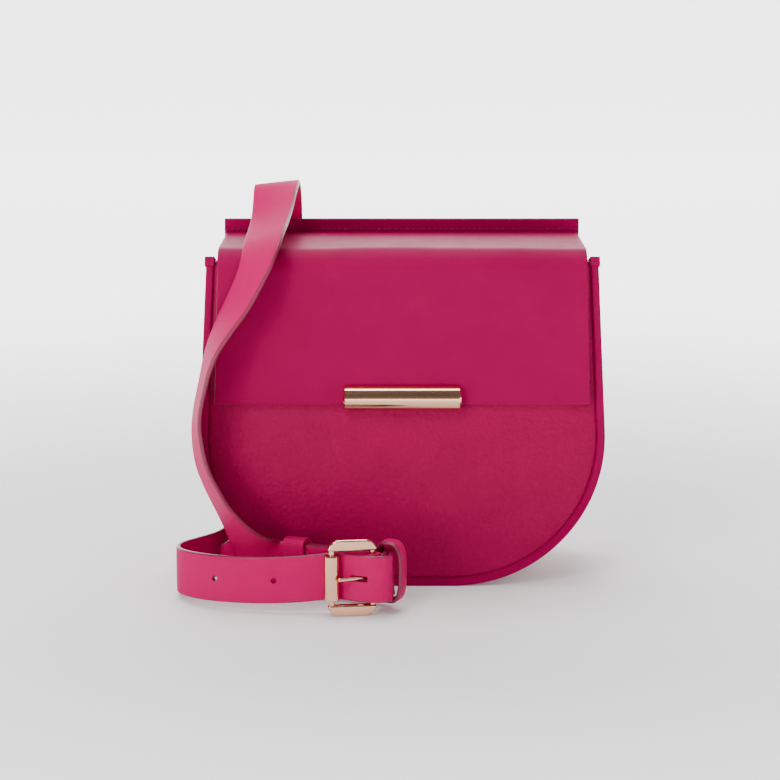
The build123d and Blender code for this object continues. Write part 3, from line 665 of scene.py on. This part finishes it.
for x, y, z in ((-97.3, -79.9, 16.3), (-66.5, -87.8, 17.4), (-33, -63.4, 16.5), (-67, -49.2, 16.5)):
    cut_hole(long_strap, Vector((x, y, z)) * MM)
cut_hole(long_strap, Vector((-21.8, -95.3, 20.5)) * MM, 6.5 * MM)
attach(long_strap, "bag")
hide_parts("long_strap")
print("long strap with holes", len(long_strap.data.polygons), "faces")

# %% [markdown]
# ## Outline of the bag
# Seen from the front, the bag's edge is two nearly straight sides joined to a short flat base by large
# arcs. Everything sewn round it follows the same outline, moved inward by some inset. Each edge strip
# shows a narrow face at the front or back, and turns over the gusset as far as the gusset's own edge.

# %% Outline of the bag
TOP_HALF = 103.0
BASE_HALF = 112.6
MOUTH = 178.0
CORNER = 81.0
slant = math.atan((BASE_HALF - TOP_HALF) / MOUTH)
arc_x = BASE_HALF - CORNER / math.tan((math.pi / 2 - slant) / 2)


def side_x(z, inset):
    """Half the outline's width at height z on the straight sides, in millimetres."""
    return BASE_HALF - (BASE_HALF - TOP_HALF) * z / MOUTH - inset / math.cos(slant)


def half_outline(inset, top, side_steps=24, arc_steps=40, base_steps=4):
    """The right half of the outline in millimetres, from the mouth down to the middle of the base."""
    radius = CORNER - inset
    arc_top = CORNER + radius * math.sin(slant)
    points = [(side_x(z, inset), z) for z in np.linspace(top, arc_top, side_steps)[:-1]]
    for angle in np.linspace(slant, -math.pi / 2, arc_steps):
        points.append((arc_x + radius * math.cos(angle), CORNER + radius * math.sin(angle)))
    points += [(x, inset) for x in np.linspace(arc_x, 0, base_steps + 1)[1:]]
    return points


def whole_outline(inset, top):
    """The outline from the left mouth corner round the base to the right one."""
    half = half_outline(inset, top)
    return [(-x, z) for x, z in half[:-1]] + half[::-1]


def rolled_edge(name, profile, top, material):
    """A strip whose section, a closed loop of (inset, y) in millimetres, follows the outline."""
    rows = [[Vector((x, y, z)) * MM for x, z in whole_outline(inset, top)] for inset, y in profile]
    mesh = grid_mesh(name, rows + [rows[0]])
    faced(mesh, close=True)
    mesh.materials.append(material)
    mesh.shade_smooth()
    return put(name, mesh)


def rounded(low, high, radius, steps=5):
    """A rounded rectangle between two (inset, y) corners, as a closed loop."""
    corners = ((high[0], high[1]), (low[0], high[1]), (low[0], low[1]), (high[0], low[1]))
    loop = []
    for quarter, (a, b) in enumerate(corners):
        middle_a = a - radius if quarter in (0, 3) else a + radius
        middle_b = b - radius if quarter in (0, 1) else b + radius
        for t in np.linspace(0, math.pi / 2, steps):
            angle = quarter * math.pi / 2 + t
            loop.append((middle_a + radius * math.cos(angle), middle_b + radius * math.sin(angle)))
    return loop


BACK_SIDE_TOP = 160.0
RIM_LOW, RIM_HIGH = (0.0, 35.75), (4.1, 37.5)
RETURN_WALL = 1.5
RETURN_END = 31.1
for side, sign, top in (("front", -1, MOUTH - 0.6), ("back", 1, BACK_SIDE_TOP)):
    face = rounded(RIM_LOW, RIM_HIGH, 0.8)
    over_gusset = [(0.0, RETURN_END + 0.3), (0.1, RETURN_END + 0.06), (0.3, RETURN_END)]
    over_gusset += [(RETURN_WALL, RETURN_END), (RETURN_WALL, RIM_LOW[1])]
    loop = face[:10] + over_gusset + face[15:]
    rim = rolled_edge(f"{side}_rim", [(inset, sign * y) for inset, y in loop], top, rim_leather)
    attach(rim, "bag")
    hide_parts(f"{side}_binding")
print("edge rims sewn round", len(whole_outline(0, MOUTH)), "outline points")

# %% [markdown]
# ## Front panel
# The panel is sewn flat at its edge and pushed gently outward by what is behind it. It is built as rows
# across the bag, each point moved forward by how far it is from the seam, most of all low down, where the
# flap leaves it free.


# %% Front panel
def edge_distance(x, z, inset):
    """Distance in millimetres from a point of the panel to the outline at that inset."""
    x = abs(x)
    if z < CORNER and x > arc_x:
        return CORNER - inset - math.hypot(x - arc_x, CORNER - z)
    if z < CORNER:
        return min(z - inset, (side_x(z, inset) - x) * math.cos(slant))
    return (side_x(z, inset) - x) * math.cos(slant)


def panel_y(x, z):
    """How far forward the panel's face lies, in millimetres."""
    away = max(edge_distance(x, z, 1.7), 0)
    dome = 1 - math.exp(-((away / 24) ** 1.5))
    low = 1 / (1 + math.exp((z - 88) / 7))
    high = 1 / (1 + math.exp(-(z - 150) / 8))
    swell = 0.9 + 2.4 * low * math.exp(-(((z - 52) / 45) ** 2)) + 0.3 * high
    tuck = 0.9 * math.exp(-(((away - 2.9) / 1.1) ** 2))
    return -35.6 - swell * dome + tuck


def panel_rows(inset, top):
    radius = CORNER - inset
    rows = []
    angles = np.linspace(0, math.pi / 2, 54)
    heights = [(CORNER - radius * math.cos(a), arc_x + radius * math.sin(a)) for a in angles]
    heights += [(z, side_x(z, inset)) for z in np.linspace(CORNER, top, 44)[1:]]
    for z, half in heights:
        steps = np.sin(np.linspace(-math.pi / 2, math.pi / 2, 121))
        rows.append([(s * half, z) for s in steps])
    return rows


front_rows = [[Vector((x, panel_y(x, z), z)) * MM for x, z in row] for row in panel_rows(1.75, 175.2)]
front_mesh = grid_mesh("front_panel_skin", front_rows)
front_mesh.materials.append(pebbled)
front_mesh.shade_smooth()
front_skin = put("front_panel_skin", front_mesh)
thicken = front_skin.modifiers.new("thicken", "SOLIDIFY")
thicken.thickness = 1.3 * MM
thicken.offset = 1.0
settle(front_skin)
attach(front_skin, "bag")
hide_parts("front_panel")
print("front panel reaches y", round(min(v.co.y for v in front_skin.data.vertices), 4))

# %% [markdown]
# ## Flap
# The flap is one sheet of smooth leather that runs forward from the stitched ridge, rolls over the bag's
# shoulder and hangs straight down the front. Real leather is never quite flat, so the sheet has a faint
# swell.

# %% Flap
FLAP_TOP = 183.0
FLAP_REACH = 42.0
FLAP_BOTTOM = 101.0
FLAP_REAR = 33.4
FLAP_BEND = 12.0
FLAP_HALF = 97
FLAP_FLARE = 2.5


def flap_path(depth):
    """The flap's side view at that depth under its face: (y, z, outward y, outward z) in millimetres."""
    radius = FLAP_BEND - depth
    middle = (-FLAP_REACH + FLAP_BEND, FLAP_TOP - FLAP_BEND)
    path = [(y, FLAP_TOP - depth, 0, 1) for y in np.linspace(FLAP_REAR, middle[0], 40)[:-1]]
    for angle in np.linspace(math.pi / 2, math.pi, 22):
        c, s = math.cos(angle), math.sin(angle)
        path.append((middle[0] + radius * c, middle[1] + radius * s, c, s))
    path += [(-FLAP_REACH + depth, z, -1, 0) for z in np.linspace(middle[1], FLAP_BOTTOM, 46)[1:]]
    return path


def flap_half(z):
    """Half the flap's width: it widens a little below the shoulder."""
    shoulder = FLAP_TOP - FLAP_BEND
    return FLAP_HALF + FLAP_FLARE * min(max((shoulder - z) / (shoulder - FLAP_BOTTOM), 0), 1)


def flap_swell(s, x):
    """Slow unevenness of the leather in millimetres, none at the ridge or under the bar."""
    wave = 0.30 * math.sin(x * 0.045 + 1.3) * math.sin(s * 4.1) + 0.16 * math.sin(x * 0.09 + s * 7)
    return wave * min(s * 4, 1) * min((1 - s) * 3.0, 1)


def flap_surface(depth):
    path = flap_path(depth)
    rows = []
    for index, (y, z, out_y, out_z) in enumerate(path):
        s = index / (len(path) - 1)
        half = flap_half(z)
        row = []
        for x in np.linspace(-half, half, 97):
            swell = flap_swell(s, x)
            row.append(Vector((x, y + out_y * swell, z + out_z * swell)) * MM)
        rows.append(row)
    return rows


def soft_sheet(name, outer, inner, face_material, edge_material, roundness):
    """A closed sheet between two grids of points, with rounded edges."""
    rows, count = len(outer), len(outer[0])
    mesh = bpy.data.meshes.new(name)
    base = rows * count
    faces = []
    kinds = []
    for r in range(rows - 1):
        for c in range(count - 1):
            a = r * count + c
            faces.append((a, a + 1, a + count + 1, a + count))
            faces.append((base + a, base + a + count, base + a + count + 1, base + a + 1))
            kinds += [0, 0]
    rim = list(range(count)) + [r * count + count - 1 for r in range(1, rows)]
    rim += [(rows - 1) * count + c for c in range(count - 2, -1, -1)]
    rim += [r * count for r in range(rows - 2, 0, -1)]
    for a, b in zip(rim, rim[1:] + rim[:1]):
        faces.append((a, a + base, b + base, b))
        kinds.append(1)
    mesh.from_pydata([tuple(p) for grid in (outer, inner) for row in grid for p in row], [], faces)
    mesh.polygons.foreach_set("material_index", kinds)
    mesh.materials.append(face_material)
    mesh.materials.append(edge_material)
    faced(mesh)
    piece = put(name, mesh)
    soften(piece, roundness, 50)
    settle(piece)
    piece.data.shade_smooth()
    return piece


flap_skin = soft_sheet("flap_skin", flap_surface(0), flap_surface(1.6), flap_leather, paint, 0.45 * MM)
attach(flap_skin, "flap")
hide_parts("flap_outer")
print("flap", len(flap_skin.data.polygons), "faces")

# %% [markdown]
# ## Fold at the hinge
# A thin strip of the flap's leather joins the back panel to the foot of the ridge. Its rows are close
# together.

# %% Fold at the hinge
FOLD_FRONT, FOLD_BACK = 36.2, 36.8
fold_heights = np.linspace(174.5, 183.5, 19)
fold_section = [(FOLD_FRONT, z) for z in fold_heights] + [(FOLD_BACK, z) for z in fold_heights[::-1]]
fold_width = np.linspace(-FLAP_HALF, FLAP_HALF, 9)
fold_rows = [[Vector((x, y, z)) * MM for x in fold_width] for y, z in fold_section]
fold_mesh = grid_mesh("hinge_fold", fold_rows + [fold_rows[0]])
faced(fold_mesh, close=True)
fold_mesh.materials.append(flap_leather)
hinge_fold = put("hinge_fold", fold_mesh)
print("hinge fold", len(fold_mesh.polygons), "faces")

# %% [markdown]
# ## Soft edges on small leather pieces
# Keepers, tabs and the ridge are the right shape already. A small round on their cut edges catches the
# light as turned leather does.

# %% Soft edges on small leather pieces
SOFT_EDGES = {
    "sliding_keeper": 0.7,
    "buckle_loop": 0.5,
    "ring_tab_left": 0.6,
    "ring_tab_right": 0.6,
    "strap_end_left": 0.5,
    "strap_end_right": 0.5,
    "gusset_hems": 0.25,
    "hinge_ridge": 0.4,
}
for node, width in SOFT_EDGES.items():
    soften(frame["nodes"][node], width * MM, 40)
frame["nodes"]["hinge_ridge"].material_slots[0].material = flap_leather
print("rounded", len(SOFT_EDGES), "pieces")

# %% [markdown]
# ## Fixed keeper
# The loop next to the buckle is a strip of strap leather closed into a ring round both lengths. It stands
# a little turned towards the buckle, so that its outer side shows at the right, and its corners are
# round because the strip is bent and not creased.

# %% Fixed keeper
keeper_low, keeper_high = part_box("fixed_keeper")
keeper_middle = (Vector(keeper_low) + Vector(keeper_high)) / 2


def keeper_loop(half_x, half_z, power=3.2, steps=72):
    """A rounded rectangular loop of (x, z) in metres."""
    loop = []
    for angle in np.linspace(0, 2 * math.pi, steps, endpoint=False):
        c, s = math.cos(angle), math.sin(angle)
        x = half_x * math.copysign(abs(c) ** (2 / power), c)
        z = half_z * math.copysign(abs(s) ** (2 / power), s)
        loop.append((x, z))
    return loop


def keeper_section(depth, wall, steps=5):
    """The strip's section as (along, inward), a closed loop with round edges."""
    half, radius = depth / 2, wall / 2
    angles = np.linspace(math.pi / 2, -math.pi / 2, steps)
    ends = [(half - radius + radius * math.cos(a), radius - radius * math.sin(a)) for a in angles]
    return ends + [(-a, wall - b) for a, b in ends]


def keeper_mesh(name):
    wall = 2.0 * MM
    outer = keeper_loop(8.0 * MM, 16.4 * MM)
    inner = keeper_loop(6.0 * MM, 14.4 * MM)
    rows = []
    for along, inward in keeper_section(9 * MM, wall):
        share = inward / wall
        pairs = zip(outer, inner)
        rows.append([(x + (u - x) * share, along, z + (w - z) * share) for (x, z), (u, w) in pairs])
    points = [p for row in rows for p in row]
    count = len(outer)
    faces = []
    kinds = []
    for r in range(len(rows)):
        follow = (r + 1) % len(rows)
        flat = r in (4, 9)
        for c in range(count):
            d = (c + 1) % count
            faces.append((r * count + c, r * count + d, follow * count + d, follow * count + c))
            kinds.append(0 if flat else 1)
    mesh = bpy.data.meshes.new(name)
    mesh.from_pydata(points, [], faces)
    mesh.polygons.foreach_set("material_index", kinds)
    mesh.materials.append(strap_leather)
    mesh.materials.append(paint)
    faced(mesh)
    turn = Matrix.Rotation(math.radians(-22), 4, "Z")
    mesh.transform(Matrix.Translation(keeper_middle - Vector((1.0 * MM, 0, 0))) @ turn)
    mesh.shade_smooth()
    return mesh


keeper = put("keeper_loop", keeper_mesh("keeper_loop"))
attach(keeper, "bag")
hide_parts("fixed_keeper")
print("keeper spans", [[round(v, 4) for v in c] for c in (keeper_low, keeper_high)])

# %% [markdown]
# ## Stitches
# Every seam is the same thing repeated: a short bead of thread at a steady pitch, lying along a line. One
# node tree lays them: it steps along a line, turns a bead to lie along it, and varies each a little.


# %% Stitch tree
def stitch_tree():
    tree = bpy.data.node_groups.new("stitches", "GeometryNodeTree")
    face = tree.interface
    face.new_socket("Geometry", in_out="INPUT", socket_type="NodeSocketGeometry")
    for name, start in (("Pitch", 3.5 * MM), ("Length", 2.6 * MM), ("Thickness", 0.7 * MM)):
        face.new_socket(name, in_out="INPUT", socket_type="NodeSocketFloat").default_value = start
    face.new_socket("Seed", in_out="INPUT", socket_type="NodeSocketInt").default_value = 1
    face.new_socket("Thread", in_out="INPUT", socket_type="NodeSocketMaterial")
    face.new_socket("Geometry", in_out="OUTPUT", socket_type="NodeSocketGeometry")

    def node(kind, settings=None, links=None):
        made = tree.nodes.new(kind)
        for key, value in (settings or {}).items():
            setattr(made, key, value)
        for key, value in (links or {}).items():
            if isinstance(value, bpy.types.NodeSocket):
                tree.links.new(value, made.inputs[key])
            else:
                made.inputs[key].default_value = value
        return made.outputs

    given = node("NodeGroupInput")
    line = node("GeometryNodeMeshToCurve", None, {"Mesh": given["Geometry"]})["Curve"]
    stepped = node("GeometryNodeResampleCurve", {"mode": "LENGTH"}, {"Curve": line, "Length": given["Pitch"]})
    tangent = node("GeometryNodeInputTangent")["Tangent"]
    facing = node("FunctionNodeAlignRotationToVector", {"axis": "X"}, {"Vector": tangent})["Rotation"]
    bead = node("GeometryNodeMeshUVSphere", None, {"Segments": 10, "Rings": 8, "Radius": 0.5})["Mesh"]
    uneven = node("FunctionNodeRandomValue", {"data_type": "FLOAT"}, {2: 0.9, 3: 1.08, "Seed": given["Seed"]})[1]
    long_side = node("ShaderNodeMath", {"operation": "MULTIPLY"}, {0: given["Length"], 1: uneven})[0]
    parts = {"X": long_side, "Y": given["Thickness"], "Z": given["Thickness"]}
    size = node("ShaderNodeCombineXYZ", None, parts)["Vector"]
    links = {"Points": stepped["Curve"], "Instance": bead, "Rotation": facing, "Scale": size}
    laid = node("GeometryNodeInstanceOnPoints", None, links)["Instances"]
    real = node("GeometryNodeRealizeInstances", None, {"Geometry": laid})["Geometry"]
    smooth = node("GeometryNodeSetShadeSmooth", None, {"Geometry": real})["Geometry"]
    painted = node("GeometryNodeSetMaterial", None, {"Geometry": smooth, "Material": given["Thread"]})
    node("NodeGroupOutput", None, {"Geometry": painted["Geometry"]})
    return tree


stitches = stitch_tree()
print("stitch tree has", len(stitches.nodes), "nodes")


# %% Sew the seams
def sew(name, lines, body, slot, **values):
    """Lays stitches along lines of points, in metres, and leaves one plain mesh on that body."""
    mesh = bpy.data.meshes.new(name)
    points = [tuple(p) for line in lines for p in line]
    edges = []
    start = 0
    for line in lines:
        edges += [(start + i, start + i + 1) for i in range(len(line) - 1)]
        start += len(line)
    mesh.from_pydata(points, edges, [])
    piece = put(name, mesh)
    layer = piece.modifiers.new("stitches", "NODES")
    layer.node_group = stitches
    sockets = {s.name: s.identifier for s in stitches.interface.items_tree if s.in_out == "INPUT"}
    for key, value in {"Thread": thread, **values}.items():
        layer[sockets[key]] = value
    piece.update_tag()
    settle(piece)
    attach(piece, body)
    return piece


seam_inset = 4.7
front_seam = [Vector((x, -35.55, z)) * MM for x, z in whole_outline(seam_inset, 174.0)]
back_seam = [Vector((x, 36.0, z)) * MM for x, z in whole_outline(seam_inset, 157.0)]
ridge_foot = [Vector((x, 33.35, 184.6)) * MM for x in (-96.5, 96.5)]
ridge_back = [Vector((x, 36.62, 186.0)) * MM for x in (-96.5, 96.5)]
sewn = [
    sew("front_seam_stitches", [front_seam], "bag", "smooth_leather", Thickness=0.9 * MM, Seed=3),
    sew("back_seam_stitches", [back_seam], "bag", "smooth_leather", Thickness=0.8 * MM, Seed=5),
    sew("ridge_stitches", [ridge_foot, ridge_back], "flap", "smooth_leather", Pitch=3.1 * MM, Seed=7),
]
print("sewn", [len(piece.data.polygons) for piece in sewn])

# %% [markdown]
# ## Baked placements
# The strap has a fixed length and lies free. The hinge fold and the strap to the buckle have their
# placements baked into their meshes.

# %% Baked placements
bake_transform(hinge_fold)
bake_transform(buckle_strap)
